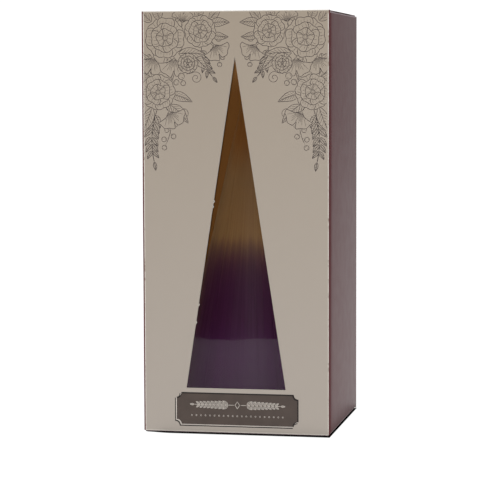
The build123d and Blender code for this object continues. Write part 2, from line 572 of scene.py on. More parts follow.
@dataclass(frozen=True)
class WaxFinish:
    """Wax that is gold above and purple below, with streaks up the candle.

    Attributes:
        gold: Colour above.
        amber: Colour at the tip.
        purple: Colour below.
        violet: Colour at the foot.
        bloom: Colour of the pale bloom that shows along the sides.
        bloom_weight: Strength of the bloom.
        bloom_roughness: How far it spreads from the sides.
        change_top: Height above which all is gold.
        fade: Height over which the gold fades to about a third, downwards.
        fade_round: How softly the fade begins.
        waver: How far the wide streaks move the change up and down.
        amber_span: Heights between which the gold turns to amber.
        violet_span: Heights between which the purple turns to violet.
        wide_streaks: Waves of the wide streaks, round the candle and up.
        fine_streaks: Waves of the fine streaks, round the candle and up.
        streak_tint: Colour that the fine streaks are multiplied by.
        streak_share: Strength of that tint.
        streak_depth: Of the fine streaks.
        scatter: How far red, green and blue light spreads in the wax.
    """

    gold: Colour = colour(0.380, 0.207, 0.083)
    amber: Colour = colour(0.352, 0.137, 0.032)
    purple: Colour = colour(0.064, 0.0112, 0.051)
    violet: Colour = colour(0.074, 0.0145, 0.071)
    bloom: Colour = colour(0.95, 0.56, 0.27)
    bloom_weight: float = 0.22
    bloom_roughness: float = 0.45
    change_top: float = 90.7 * MM
    fade: float = 5.9 * MM
    fade_round: float = 0.9
    waver: float = 2.5 * MM
    amber_span: Span = (117 * MM, 143 * MM)
    violet_span: Span = (56 * MM, 36 * MM)
    wide_streaks: Span = (9.0, 14.0)
    fine_streaks: Span = (34.0, 9.0)
    streak_tint: Colour = colour(0.55, 0.5, 0.5)
    streak_share: float = 0.35
    streak_depth: float = 0.15 * MM
    scatter: Place = (6 * MM, 4 * MM, 3 * MM)

    def material(self, shared: SharedEffects) -> bpy.types.Material:
        """Makes the wax material.

        Args:
            shared: Node groups of the scene.

        Returns:
            The material.
        """
        made, graph = new_material("ombre_wax")
        wide, fine = (
            shared.streaks.placed(graph, {"Turns": turns, "Climb": climb})["Streak"]
            for turns, climb in (self.wide_streaks, self.fine_streaks)
        )
        height = graph.coordinates()[2]
        lift = graph.math("MULTIPLY", graph.math("SUBTRACT", wide, 0.5), self.waver)
        level = graph.math("SUBTRACT", graph.math("ADD", height, lift), self.change_top)
        risen = graph.math("EXPONENT", graph.math("DIVIDE", level, self.fade))
        share = graph.math("SMOOTH_MIN", risen, 1.0, self.fade_round)
        upper = graph.mix(graph.step(height, *self.amber_span), self.gold, self.amber)
        lower = graph.mix(graph.step(height, *self.violet_span), self.purple, self.violet)
        body = graph.mix(share, lower, upper)
        streaked = graph.math("MULTIPLY", fine, self.streak_share)
        bump = graph.node("Bump", {"Strength": 0.25, "Distance": self.streak_depth, "Height": fine})
        shader = graph.node("BsdfPrincipled", {
            "Base Color": graph.mix(streaked, body, self.streak_tint, "MULTIPLY"),
            "Diffuse Roughness": 1.0,
            "Roughness": graph.math("MULTIPLY_ADD", fine, 0.12, 0.42),
            "Specular IOR Level": 0.15,
            "Subsurface Weight": 0.06,
            "Subsurface Radius": self.scatter,
            "Subsurface Scale": 1.0,
            "Sheen Weight": self.bloom_weight,
            "Sheen Roughness": self.bloom_roughness,
            "Sheen Tint": self.bloom,
            "Normal": bump.outputs[0],
        })
        graph.node("OutputMaterial", {0: shader.outputs[0]})
        return made


@dataclass(frozen=True)
class CottonFinish:
    """Waxed cotton of the wicks.

    Attributes:
        pale: Colour of the high fibres.
        dull: Colour of the waxed fibres between them.
        fibre_depth: Of the fibres.
    """

    pale: Colour = colour(0.78, 0.73, 0.62)
    dull: Colour = colour(0.52, 0.45, 0.34)
    fibre_depth: float = 0.05 * MM

    def material(self, shared: SharedEffects) -> bpy.types.Material:
        """Makes the cotton material from the shared paper fibre, drawn finer.

        Args:
            shared: Node groups of the scene.

        Returns:
            The material.
        """
        made, graph = new_material("wick_cotton")
        fibre = shared.paper_fibre.placed(graph, {"Scale": 2.5})
        relief = {"Strength": 0.5, "Distance": self.fibre_depth, "Height": fibre["Height"]}
        shader = graph.node("BsdfPrincipled", {
            "Base Color": graph.mix(fibre["Mottle"], self.dull, self.pale),
            "Roughness": 0.8,
            "Specular IOR Level": 0.2,
            "Normal": graph.node("Bump", relief).outputs[0],
        })
        graph.node("OutputMaterial", {0: shader.outputs[0]})
        return made


@dataclass(frozen=True)
class FilmFinish:
    """Clear film that mirrors more at a low angle.

    Attributes:
        tint: Colour of what shows through.
        facing_gloss: Share mirrored straight on.
        low_gloss: Share that is added at the lowest angle.
        roughness: Blur of the mirror.
    """

    tint: Colour = colour(0.95, 0.95, 0.95)
    facing_gloss: float = 0.0114
    low_gloss: float = 0.5
    roughness: float = 0.025

    def material(self) -> bpy.types.Material:
        """Makes the film material.

        Returns:
            The material.
        """
        made, graph = new_material("clear_film")
        facing = graph.node("LayerWeight", {"Blend": 0.5}).outputs["Facing"]
        rise = graph.math("MULTIPLY", graph.math("POWER", facing, 5.0), self.low_gloss)
        share = graph.math("ADD", rise, self.facing_gloss, clamp=True)
        clear = graph.node("BsdfTransparent", {0: self.tint})
        mirror = graph.node("BsdfGlossy", {"Color": WHITE, "Roughness": self.roughness})
        both = graph.node("MixShader", {0: share, 1: clear.outputs[0], 2: mirror.outputs[0]})
        graph.node("OutputMaterial", {0: both.outputs[0]})
        return made


@dataclass(frozen=True)
class InkFinish:
    """Ink printed on the front wall.

    Attributes:
        name: Of the material.
        ink: Its colour.
        thinned: Brightness where the board's fibres stand up through it.
    """

    name: str
    ink: Colour
    thinned: float = 1.18

    def material(self, shared: SharedEffects) -> bpy.types.Material:
        """Makes the ink's material.

        Args:
            shared: Node groups of the scene.

        Returns:
            The material.
        """
        made, graph = new_material(self.name)
        fibre = shared.paper_fibre.placed(graph, {"Scale": 1.0})
        worn = colour(*(self.thinned * part for part in self.ink[:3]))
        shader = graph.node("BsdfPrincipled", {
            "Base Color": graph.mix(fibre["Mottle"], self.ink, worn),
            "Roughness": 0.5,
            "Specular IOR Level": 0.3,
        })
        graph.node("OutputMaterial", {0: shader.outputs[0]})
        return made


def deselect_all() -> None:
    """Leaves object mode with nothing selected."""
    if bpy.context.object and bpy.context.object.mode != "OBJECT":
        bpy.ops.object.mode_set(mode="OBJECT")
    bpy.ops.object.select_all(action="DESELECT")


def select_only(piece: bpy.types.Object) -> None:
    """Selects one piece alone and makes it the active one.

    Args:
        piece: The piece.
    """
    deselect_all()
    piece.select_set(True)
    bpy.context.view_layer.objects.active = piece


def set_material(piece: bpy.types.Object, material: bpy.types.Material) -> None:
    """Gives a piece its material, in place of any that it has."""
    piece.data.materials.clear()
    piece.data.materials.append(material)


def reshape(piece: bpy.types.Object, move: Callable[[Vector], Place]) -> None:
    """Moves each vertex of a piece.

    Args:
        piece: Mesh piece at the origin.
        move: Gives a vertex's new place from its old one.
    """
    for vertex in piece.data.vertices:
        vertex.co = move(vertex.co.copy())
    piece.data.update()


def smooth(piece: bpy.types.Object, degrees: float = 40.0) -> None:
    """Shades a piece smooth up to an angle between faces."""
    select_only(piece)
    bpy.ops.object.shade_smooth_by_angle(angle=math.radians(degrees))


def recalculate_normals(piece: bpy.types.Object) -> None:
    """Turns a closed piece's faces outwards.

    Args:
        piece: Mesh piece.
    """
    select_only(piece)
    bpy.ops.object.mode_set(mode="EDIT")
    bpy.ops.mesh.select_all(action="SELECT")
    bpy.ops.mesh.normals_make_consistent(inside=False)
    bpy.ops.object.mode_set(mode="OBJECT")


def thicken(piece: bpy.types.Object, thickness: float, offset: float) -> None:
    """Gives a thin sheet its thickness.

    Args:
        piece: The sheet, which is the active piece.
        thickness: Of the finished sheet.
        offset: Side that it grows to: -1 inwards, 0 both ways.
    """
    added = piece.modifiers.new("thickness", "SOLIDIFY")
    added.thickness = thickness
    added.offset = offset
    bpy.ops.object.modifier_apply(modifier=added.name)


def round_tube(
    name: str,
    runs: Sequence[Sequence[Place]],
    radius: float,
    sides: int,
    swells: Sequence[Sequence[float]] | None = None,
) -> bpy.types.Object:
    """Makes closed round tubes along runs of points.

    Args:
        name: Name of the piece.
        runs: Points of each tube.
        radius: Of the tubes.
        sides: Bevel resolution of a tube.
        swells: Share of the radius at each point, or nothing for even tubes.

    Returns:
        One mesh piece that holds the tubes.
    """
    line = bpy.data.curves.new(name, "CURVE")
    line.dimensions = "3D"
    line.bevel_depth = radius
    line.bevel_resolution = sides
    line.use_fill_caps = True
    for number, points in enumerate(runs):
        spline = line.splines.new("POLY")
        spline.points.add(len(points) - 1)
        shares = swells[number] if swells else [1.0] * len(points)
        for point, place, share in zip(spline.points, points, shares):
            point.co = (*place, 1.0)
            point.radius = share
    piece = bpy.data.objects.new(name, line)
    bpy.context.collection.objects.link(piece)
    select_only(piece)
    bpy.ops.object.convert(target="MESH")
    return bpy.context.object


OUTLINE_WEIGHT = 0.125
VEIN_WEIGHT = 0.07
SEED_WEIGHT = 0.08
STEM_WEIGHT = 0.17
STALK_WEIGHT = 0.12


@dataclass(frozen=True)
class Stroke:
    """A drawn line, in millimetres.

    Attributes:
        points: Along the line.
        weight: Half of its width.
    """

    points: tuple[Point, ...]
    weight: float = OUTLINE_WEIGHT


@dataclass(frozen=True)
class Motif:
    """A drawn shape that hides what lies behind it.

    Attributes:
        outline: Closed outline, or nothing for a shape that hides nothing.
        strokes: Its lines.
    """

    outline: tuple[Point, ...]
    strokes: tuple[Stroke, ...]

    def placed(self, at: Point, degrees: float = 0.0) -> Motif:
        """The motif turned about its root and moved to a place.

        Args:
            at: Place of the root.
            degrees: Turn, from across towards downwards.

        Returns:
            The moved motif.
        """
        cosine, sine = math.cos(math.radians(degrees)), math.sin(math.radians(degrees))

        def move(points: Sequence[Point]) -> tuple[Point, ...]:
            """The points turned and moved."""
            return tuple((at[0] + u * cosine - v * sine, at[1] + u * sine + v * cosine) for u, v in points)

        strokes = (Stroke(move(line.points), line.weight) for line in self.strokes)
        return Motif(move(self.outline), tuple(strokes))


def steps(count: int) -> list[float]:
    """Even steps from 0 to 1."""
    return [number / count for number in range(count + 1)]


def heading(line: Sequence[Point], place: int) -> float:
    """Direction of a line at one of its points, in radians."""
    at, before = line[place], line[place - 2]
    return math.atan2(at[1] - before[1], at[0] - before[0])


def curve(start: Point, control: Point, end: Point, count: int) -> tuple[Point, ...]:
    """Draws a bent line.

    Args:
        start: Its first point.
        control: Point that it bends towards.
        end: Its last point.
        count: Number of its parts.

    Returns:
        Its points.
    """
    return tuple(
        tuple((1 - t) ** 2 * a + 2 * t * (1 - t) * b + t * t * c for a, b, c in zip(start, control, end))
        for t in steps(count)
    )


def ring(radius: float, middle: Point = (0.0, 0.0), count: int = 18) -> tuple[Point, ...]:
    """Draws a circle.

    Args:
        radius: Of the circle.
        middle: Its middle.
        count: Number of its parts.

    Returns:
        Its points, with the first one again at the end.
    """
    u, v = middle
    turns = [math.tau * t for t in steps(count)]
    return tuple((u + radius * math.cos(turn), v + radius * math.sin(turn)) for turn in turns)


def leaf(length: float, width: float, bend: float, veins: int = 6) -> Motif:
    """Draws a pointed leaf with a midrib and veins, that grows from its root along U.

    Args:
        length: From root to tip.
        width: At its widest.
        bend: How far the tip is bent aside, as a share of the length.
        veins: Number of veins at each side.

    Returns:
        The leaf.
    """

    def side(t: float, share: float) -> Point:
        """Finds a point beside the midrib.

        Args:
            t: From 0 at the root to 1 at the tip.
            share: Of the half width, below 0 for the lower side.

        Returns:
            The point.
        """
        half = share * width / 2 * math.sin(math.pi * t**0.8) * (1.08 - 0.2 * t)
        slope = 2 * bend * t
        long = math.hypot(1, slope)
        return (length * t - half * slope / long, bend * length * t * t + half / long)

    upper = tuple(side(t, 1) for t in steps(22))
    lower = tuple(side(t, -1) for t in steps(22))
    midrib = tuple(side(t * 0.95, 0) for t in steps(14))
    lines = [Stroke(upper), Stroke(lower), Stroke(midrib, STALK_WEIGHT)]
    for number in range(veins):
        root = 0.12 + 0.68 * number / veins
        for face in (1, -1):
            bent, end = side(root + 0.10, 0.35 * face), side(root + 0.17, 0.84 * face)
            lines.append(Stroke(curve(side(root, 0), bent, end, 5), VEIN_WEIGHT))
    return Motif(upper + lower[::-1], tuple(lines))


def petal(inner: float, outer: float, width: float, lines: int) -> Motif:
    """Draws a rounded petal with a shallow notch in its tip and a few lines up from its root.

    Args:
        inner: From the blossom's middle to the petal's root.
        outer: From the blossom's middle to the petal's tip.
        width: Of the petal.
        lines: Number of its lines.

    Returns:
        The petal.
    """

    def edge(angle: float, share: float = 1.0) -> Point:
        """Finds a point of the outline, or one nearer to the petal's middle.

        Args:
            angle: From 0 at the root to half a turn at the tip.
            share: Of the half width.

        Returns:
            The point.
        """
        along = (1 - math.cos(angle)) / 2
        half = share * width / 2 * math.sin(angle) ** 0.75 * (0.45 + 0.75 * along)
        dent = 0.07 * (outer - inner) * math.exp(-((half / (0.16 * width)) ** 2)) * along**8
        return (inner + (outer - inner) * along - dent, half)

    upper = [edge(math.pi * t) for t in steps(20)]
    lower = [(u, -v) for u, v in reversed(upper[:-1])]
    outline = tuple(upper + lower)
    strokes = [Stroke(outline)]
    root = 0.12
    for number in range(lines):
        share = -0.7 + 1.4 * number / max(lines - 1, 1)
        reach = 0.84 - 0.16 * abs(share) - 0.06 * (number % 2)
        line = tuple(edge(math.pi * (root + (reach - root) * t), share) for t in steps(7))
        strokes.append(Stroke(line, VEIN_WEIGHT))
    return Motif(outline, tuple(strokes))


def rosette(radius: float, turn: float) -> list[Motif]:
    """Draws a full blossom of three rings of petals round a seeded eye.

    Args:
        radius: Of the blossom.
        turn: Of its first ring, in degrees.

    Returns:
        Its shapes, front first.
    """
    eye = ring(0.13 * radius)
    spots = ring(0.075 * radius, count=6)[:-1]
    seeds = [Stroke(ring(0.022 * radius, spot, 6), SEED_WEIGHT) for spot in spots]
    motifs = [Motif(eye, (Stroke(eye), *seeds))]
    for petals, reach, lines in ((5, 0.42, 3), (6, 0.70, 4), (8, 1.0, 5)):
        width = 2.5 * reach * radius * math.sin(math.pi / petals)
        made = petal(0.04 * radius, reach * radius, width, lines)
        for number in (*range(0, petals, 2), *range(1, petals, 2)):
            motifs.append(made.placed((0, 0), turn + 360 * number / petals))
        turn += 180 / petals + 9
    return motifs


def fan(size: float, ribs: int = 14) -> Motif:
    """Draws a fan leaf on a stalk, with a split margin and ribs that spread from its root.

    Args:
        size: Length with the stalk.
        ribs: Number of its ribs.

    Returns:
        The fan leaf.
    """
    root = (0.34 * size, 0.0)

    def margin(angle: float, share: float = 1.0) -> Point:
        """Finds a point of the margin, or one nearer to the root.

        Args:
            angle: From the leaf's middle.
            share: Of the way from the root.

        Returns:
            The point.
        """
        split = 1 - 0.33 * math.exp(-((angle / 0.07) ** 2)) + 0.035 * math.sin(11 * angle)
        reach = share * 0.66 * size * split * (1 - 0.09 * angle * angle)
        return (root[0] + reach * math.cos(angle), root[1] + reach * math.sin(angle))

    spread = 1.22
    edge = [margin(-spread + 2 * spread * t) for t in steps(44)]
    first = curve(root, (root[0] + 0.22 * size, -0.12 * size), edge[0], 8)
    last = curve(edge[-1], (root[0] + 0.22 * size, 0.12 * size), root, 8)
    outline = (*first, *edge, *last)
    stalk = curve((0, 0), (0.2 * size, 0.05 * size), root, 6)
    strokes = [Stroke(outline), Stroke(stalk, 0.2)]
    rib_root = 0.12
    for number in range(ribs):
        angle = spread * (1.44 * number / (ribs - 1) - 0.72)
        reach = 0.9 - 0.22 * (number % 2) - 0.1 * (number % 3)
        rib = tuple(margin(angle, rib_root + (reach - rib_root) * t) for t in steps(8))
        strokes.append(Stroke(rib, VEIN_WEIGHT))
    return Motif(outline, tuple(strokes))


def berry(radius: float) -> Motif:
    """Draws a round berry with a small eye and a glint.

    Args:
        radius: Of the berry.

    Returns:
        The berry.
    """
    skin = ring(radius)
    inside = 0.62 * radius
    turns = (2.4, 2.8, 3.2, 3.6, 4.0)
    glint = tuple((inside * math.cos(turn), inside * math.sin(turn)) for turn in turns)
    eye = ring(0.12 * radius, (0.5 * radius, 0.2 * radius), 6)
    return Motif(skin, (Stroke(skin), Stroke(glint, VEIN_WEIGHT), Stroke(eye, SEED_WEIGHT)))


def tendril(size: float, turns: float = 1.6) -> Motif:
    """Draws a curl on a short stalk.

    Args:
        size: Across the curl.
        turns: Number of its turns.

    Returns:
        The curl, which hides nothing.
    """
    points = [(0.0, size * 0.5)]
    for t in steps(40):
        angle = math.tau * turns * t
        reach = size * (1 - t) ** 0.9 / 2 + 0.04 * size
        points.append((size * 0.75 - reach * math.cos(angle), -reach * math.sin(angle)))
    return Motif((), (Stroke(tuple(points), 0.11),))


def sprig(start: Point, control: Point, end: Point, length: float, pairs: int) -> list[Motif]:
    """Draws a bent stem with paired leaves that get smaller towards the one at its tip.

    Args:
        start: The stem's root.
        control: Point that it bends towards.
        end: Its tip.
        length: Of the first leaves.
        pairs: Number of paired leaves.

    Returns:
        Its shapes, front first.
    """
    line = curve(start, control, end, 40)
    motifs = []
    for number in range(pairs + 1):
        tip = number == pairs
        place = 40 if tip else int(6 + 32 * number / pairs)
        degrees = math.degrees(heading(line, place))
        size = length * (1 - 0.35 * number / pairs)
        for bend, turn in ((0.05, 0),) if tip else ((0.18, -48), (-0.18, 48)):
            motifs.append(leaf(size, 0.4 * size, bend, veins=4).placed(line[place], degrees + turn))
    return [*motifs, Motif((), (Stroke(line, STEM_WEIGHT),))]


def berries(start: Point, control: Point, end: Point, radius: float, count: int) -> list[Motif]:
    """Draws a stem with berries on short stalks at both sides.

    Args:
        start: The stem's root.
        control: Point that it bends towards.
        end: Its tip.
        radius: Of a berry.
        count: Number of berries.

    Returns:
        Its shapes, front first.
    """
    line = curve(start, control, end, 40)
    fruits = []
    stalks = [Stroke(line, STALK_WEIGHT)]
    reach = 2.1 * radius
    for number in range(count):
        place = int(10 + 30 * number / (count - 1))
        at = line[place]
        lean = 0.0 if number == count - 1 else 0.95 * (-1) ** number
        angle = heading(line, place) + lean
        tip = (at[0] + reach * math.cos(angle), at[1] + reach * math.sin(angle))
        stalks.append(Stroke((at, tip), 0.09))
        fruits.append(berry(radius).placed(tip, math.degrees(angle)))
    return [*fruits, Motif((), tuple(stalks))]


class Drawing:
    """Motifs that hide one another, first come in front, cut off at a limit.

    Attributes:
        limit: Tells whether a point lies on the sheet.
        fronts: Box and outline of each shape that hides what lies behind it.
        lines: Visible lines with their weights.
    """

    def __init__(self, limit: Callable[[Point], bool]) -> None:
        """Starts an empty drawing.

        Args:
            limit: Tells whether a point lies on the sheet.
        """
        self.limit = limit
        self.fronts: list[tuple[tuple[float, float, float, float], tuple[Point, ...]]] = []
        self.lines: list[Stroke] = []

    def add(self, *motifs: Motif) -> None:
        """Adds motifs behind those already drawn.

        Args:
            motifs: Shapes, front first.
        """
        for motif in motifs:
            for stroke in motif.strokes:
                self.draw(stroke)
            if motif.outline:
                across, down = zip(*motif.outline)
                self.fronts.append(((min(across), min(down), max(across), max(down)), motif.outline))

    def hidden(self, point: Point) -> bool:
        """Tells whether a shape in front covers a point.

        Args:
            point: On the sheet.

        Returns:
            True if it is covered.
        """
        u, v = point
        for (low_u, low_v, high_u, high_v), outline in self.fronts:
            if not (low_u < u < high_u and low_v < v < high_v):
                continue
            inside = False
            for (u1, v1), (u2, v2) in zip(outline, (*outline[1:], outline[0])):
                if (v1 > v) != (v2 > v) and u < u1 + (v - v1) * (u2 - u1) / (v2 - v1):
                    inside = not inside
            if inside:
                return True
        return False

    def draw(self, stroke: Stroke, spacing: float = 0.3) -> None:
        """Adds the visible runs of a line.

        Args:
            stroke: The whole line.
            spacing: Longest step between its points.
        """
        points = [stroke.points[0]]
        for (u, v), end in zip(stroke.points, stroke.points[1:]):
            parts = max(1, math.ceil(math.dist((u, v), end) / spacing))
            points += [(u + (end[0] - u) * t, v + (end[1] - v) * t) for t in steps(parts)[1:]]
        run: list[Point] = []
        for point in (*points, None):
            if point and self.limit(point) and not self.hidden(point):
                run.append(point)
                continue
            if len(run) > 2:
                self.lines.append(Stroke(tuple(run), stroke.weight))
            run = []


def corner_spray() -> Drawing:
    """Spray of blossoms, fan leaves, sprigs and berries for the top left corner of the front.

    Places are in millimetres across and down from that corner.

    Returns:
        The drawing.
    """
    side_margin, top_margin = 1.15, 0.5
    art = Drawing(lambda point: point[0] > side_margin and point[1] > top_margin)
    blossoms = (
        ((11.5, 12.5), 9.6, 10),
        ((28.5, 9.5), 7.6, 40),
        ((8, 38), 8.4, 75),
        ((22.5, 24.5), 4.8, 20),
    )
    for at, radius, turn in blossoms:
        art.add(*(motif.placed(at) for motif in rosette(radius, turn)))
    for at, radius in (((19.3, 30.6), 1.5), ((16.9, 33.4), 1.3), ((20.2, 33.8), 1.2)):
        art.add(berry(radius).placed(at, 30))
    fans = (
        ((16, 17), 92, 14),
        ((7, 17), 104, 13),
        ((19, 9), -78, 10),
        ((33, 12), 62, 12),
        ((11, 43), 62, 13),
    )
    for at, degrees, size in fans:
        art.add(fan(size).placed(at, degrees))
    leaves = (
        ((33, 6), -14, 9.5, 4.2, 0.2), ((34, 11), 20, 8, 3.6, -0.2), ((14, 44), 34, 12, 4.8, 0.2),
        ((14, 39), 8, 11, 4.4, 0.2), ((18, 20), -8, 13, 5, 0.2), ((4, 22), 165, 9, 5, 0.2),
        ((5, 45), 105, 14, 5.2, 0.15), ((16, 5), -60, 9, 4.4, 0.1), ((24, 18), 60, 13, 4.6, -0.2),
        ((5, 31), 205, 10, 5, 0.1), ((27, 4), -75, 8, 4, 0.1), ((33, 4), -50, 8, 4, 0.1),
        ((4, 20), 100, 14, 5, 0.2), ((5, 5), 222, 9, 4.6, 0.1), ((12, 21), 70, 12, 5, 0.1),
        ((9, 4), -110, 8, 4.6, 0.1), ((20, 24), 140, 9, 4, 0.1),
    )
    for at, degrees, length, width, bend in leaves:
        art.add(leaf(length, width, bend).placed(at, degrees))
    art.add(*sprig((8, 45), (3, 58), (6, 71), length=6.4, pairs=6))
    art.add(*sprig((29, 16), (29, 25), (34.5, 31), length=5.2, pairs=4))
    art.add(*berries((13, 45), (16, 54), (12, 62), radius=1.15, count=6))
    art.add(*berries((33, 15), (37, 18), (37.5, 23), radius=1.05, count=5))
    for at, degrees, size in (((24, 28), 55, 5.5), ((17, 47), 20, 5.0), ((34, 12), 15, 4.4)):
        art.add(tendril(size).placed(at, degrees))
    return art


def plaque_garland() -> Drawing:
    """Laurel garland with a lozenge in its middle, over a row of beads, about the plaque's middle.

    Returns:
        The drawing, in millimetres across and down.
    """
    art = Drawing(lambda point: True)
    level, half_width, half_height = -1.9, 1.1, 1.7
    top, foot = (0.0, level - half_height), (0.0, level + half_height)
    stone = (top, (half_width, level), foot, (-half_width, level), top)
    art.add(Motif(stone, (Stroke(stone, 0.16),)))
    for side in (1, -1):
        art.add(*sprig((1.6 * side, level), (12 * side, level), (21 * side, level), length=3.2, pairs=8))
    beads_each_side, bead_spacing, bead_level = 10, 2.2, 3.3
    for number in range(-beads_each_side, beads_each_side + 1):
        bead = ring(0.32, (bead_spacing * number, bead_level), 8)
        art.add(Motif((), (Stroke(bead, 0.13),)))
    return art


def ink_lines(name: str, strokes: Sequence[Stroke], place: Callable[[Point], Place]) -> bpy.types.Object:
    """Draws strokes as ink that stands a trace above a wall, thinner towards the ends of each line.

    Args:
        name: Name of the piece.
        strokes: Lines in millimetres.
        place: Gives a point's place on the wall.

    Returns:
        One mesh piece with all lines.
    """
    end_share, growth, flattening = 0.4, 0.2, 0.1
    runs = []
    swells = []
    for stroke in strokes:
        runs.append([place(point) for point in stroke.points])
        last = len(stroke.points) - 1
        ends = [min(number, last - number) for number in range(last + 1)]
        swells.append([stroke.weight * min(1.0, end_share + growth * end) for end in ends])
    lines = round_tube(name, runs, MM, sides=0, swells=swells)
    wall = runs[0][0][1]
    reshape(lines, lambda spot: (spot.x, wall + (spot.y - wall) * flattening, spot.z))
    return lines


@dataclass
class Carton:
    """Folding carton: printed boards, the film behind its window and the print on its front.

    Attributes:
        shared: Node groups of the scene.
        nodes: CAD nodes by name.
        plaque_size: Width and height of the bare plaque.
        plaque_middle: Place of the plaque's middle, across and up.
        plaque_scoop: Depth of its scooped corners.
        scoop_profile: Profile of the bevel that scoops them.
        ink_thickness: Of one layer of the plaque's ink.
        layer_rise: From one layer of the plaque to the next.
        garland_rise: From the wall to the plaque's garland.
        film_bulge: How far the film's middle bows into the carton.
        film_thickness: Of the film.
        window_half: Half of the window's width at its foot.
        window_heights: Of the window's foot and of its tip.
        burr_heights: Of the torn fibres on the window's left edge.
        burr_curl: Points of a torn fibre, off the edge and up, in millimetres.
        burr_radius: Of a torn fibre.
        burr_depth: From the front's face to a torn fibre.
    """

    shared: SharedEffects
    nodes: Mapping[str, bpy.types.Object]
    plaque_size: Span = (58.9 * MM, 15.3 * MM)
    plaque_middle: Point = (0.7 * MM, 11.8 * MM)
    plaque_scoop: float = 2.3 * MM
    scoop_profile: float = 0.086
    ink_thickness: float = 0.01 * MM
    layer_rise: float = 0.015 * MM
    garland_rise: float = 0.08 * MM
    film_bulge: float = 0.12 * MM
    film_thickness: float = 0.1 * MM
    window_half: float = 24 * MM
    window_heights: Span = (21.5 * MM, 178.5 * MM)
    burr_heights: tuple[float, ...] = (52.9 * MM, 61.4 * MM, 108.0 * MM, 110.5 * MM)
    burr_curl: tuple[Point, ...] = ((-0.1, 0.55), (0.25, 0.3), (0.42, 0.0), (0.2, -0.35), (-0.1, -0.5))
    burr_radius: float = 0.16 * MM
    burr_depth: float = 0.15 * MM

    def build(self) -> None:
        """Dresses the boards and adds the film and the print."""
        self.dress_boards()
        self.build_film()
        self.print_front()
        self.add_burrs()

    def board_finishes(self) -> dict[str, tuple[BoardFinish, Outside]]:
        """Lists the boards.

        Returns:
            The finish of each board, and the side that its print looks to.
        """
        beige = BoardFinish("beige_board", BEIGE_LIT_FOOT, ink_shaded_top=BEIGE_SHADED_TOP, wraps=True, gloss=0.25)
        satin = {"roughness": 0.42, "gloss": 0.24}
        plum = BoardFinish("plum_board", PLUM_INK, bow=1.2 * MM, fibre_height=0.0004 * MM, **satin)
        # The lids carry painted shade at their folds and a painted shadow in the middle of their side
        # edges.
        lid = BoardFinish("plum_lid", PLUM_INK, edge=WORN_AND_LIT_PLUM, slit_shadow=LID_SLIT_SHADOW, fold_shade=0.08, **satin)
        plain = BoardFinish("plain_board", PLUM_INK, bleed=5 * MM)
        inner = BoardFinish("inner_board", PLUM_INK)
        boards = {
            "front_panel": (beige, Outside.FRONT),
            "back_panel": (beige, Outside.BACK),
            "left_panel": (plum, Outside.LEFT),
            "right_panel": (plum, Outside.RIGHT),
            "glue_flap": (inner, Outside.LEFT),
        }
        ends = (("top", Outside.TOP, Outside.FRONT), ("bottom", Outside.BOTTOM, Outside.BACK))
        for end, outside, tuck in ends:
            boards[f"{end}_lid"] = (lid, outside)
            boards[f"{end}_tuck_flap"] = (lid, tuck)
            for side in ("left", "right"):
                boards[f"{end}_{side}_dust_flap"] = (plain, outside)
        return boards

    def dress_boards(self) -> None:
        """Gives each board its finish."""
        made: dict[tuple[str, Outside], bpy.types.Material] = {}
        for node, (finish, outside) in self.board_finishes().items():
            key = (finish.name, outside)
            if key not in made:
                made[key] = finish.material(outside, self.shared)
            set_material(self.nodes[node], made[key])
            LOG.info("%s: %s", node, made[key].name)

    def build_film(self) -> None:
        """Models the film as a thin sheet that bows a little between its glued edges."""
        low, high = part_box("window_film")
        middle, size = (low + high) / 2, high - low
        deselect_all()
        bpy.ops.mesh.primitive_grid_add(x_subdivisions=48, y_subdivisions=96, size=2.0)
        film = bpy.context.object
        film.name = "clear_film"

        def bow(place: Vector) -> Place:
            """Lays a point of the square grid on the bowed sheet.

            Args:
                place: From -1 to 1 across and up.

            Returns:
                Its place.
            """
            dome = (1 - place.x**2) ** 2 * (1 - place.y**2) ** 2
            ripple = noise.noise((place.x * 1.6, place.y * 4.0, 0.3)) * 0.4
            inward = self.film_thickness / 2 + self.film_bulge * dome * (1 + ripple)
            return (place.x * size.x / 2, low.y + inward, middle.z + place.y * size.z / 2)

        reshape(film, bow)
        thicken(film, self.film_thickness, offset=0.0)
        recalculate_normals(film)
        smooth(film)
        set_material(film, FilmFinish().material())
        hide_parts("window_film")
        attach(film, "carton")
        LOG.info("film: %d faces", len(film.data.polygons))

    def print_front(self) -> None:
        """Prints a spray in both upper corners of the front, and the plaque."""
        low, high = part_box("front_panel")
        line_ink = InkFinish("line_ink", colour(0.060, 0.045, 0.043)).material(self.shared)
        spray = corner_spray()
        for side, corner, inward in (("left", low.x, 1), ("right", high.x, -1)):

            def on_front(point: Point) -> Place:
                """Place on the front of a point of the drawing."""
                return (corner + inward * point[0] * MM, low.y, high.z - point[1] * MM)

            self.keep_print(ink_lines(f"leaf_spray_{side}", spray.lines, on_front), line_ink)
        dark = InkFinish("plaque_outline_ink", colour(0.012, 0.007, 0.006)).material(self.shared)
        pale = InkFinish("plaque_rim_ink", colour(0.56, 0.51, 0.46)).material(self.shared)
        taupe = InkFinish("plaque_ink", colour(0.073, 0.053, 0.044)).material(self.shared)
        layers = (
            ("plaque_rim_edge", 0.20, (-0.70, -0.75), dark),
            ("plaque_rim", 0.0, (-0.45, -0.45), pale),
            ("plaque_edge", 0.0, (0.0, 0.0), dark),
            ("plaque_face", -0.38, (-0.25, -0.28), taupe),
        )
        for level, (name, grow, shift, ink) in enumerate(layers, start=1):
            self.keep_print(self.plaque_layer(name, grow * MM, shift, level), ink)
        across, up = self.plaque_middle

        def on_plaque(point: Point) -> Place:
            """Place on the plaque of a point of the drawing."""
            return (across + point[0] * MM, low.y - self.garland_rise, up - point[1] * MM)

        self.keep_print(ink_lines("plaque_garland", plaque_garland().lines, on_plaque), pale)

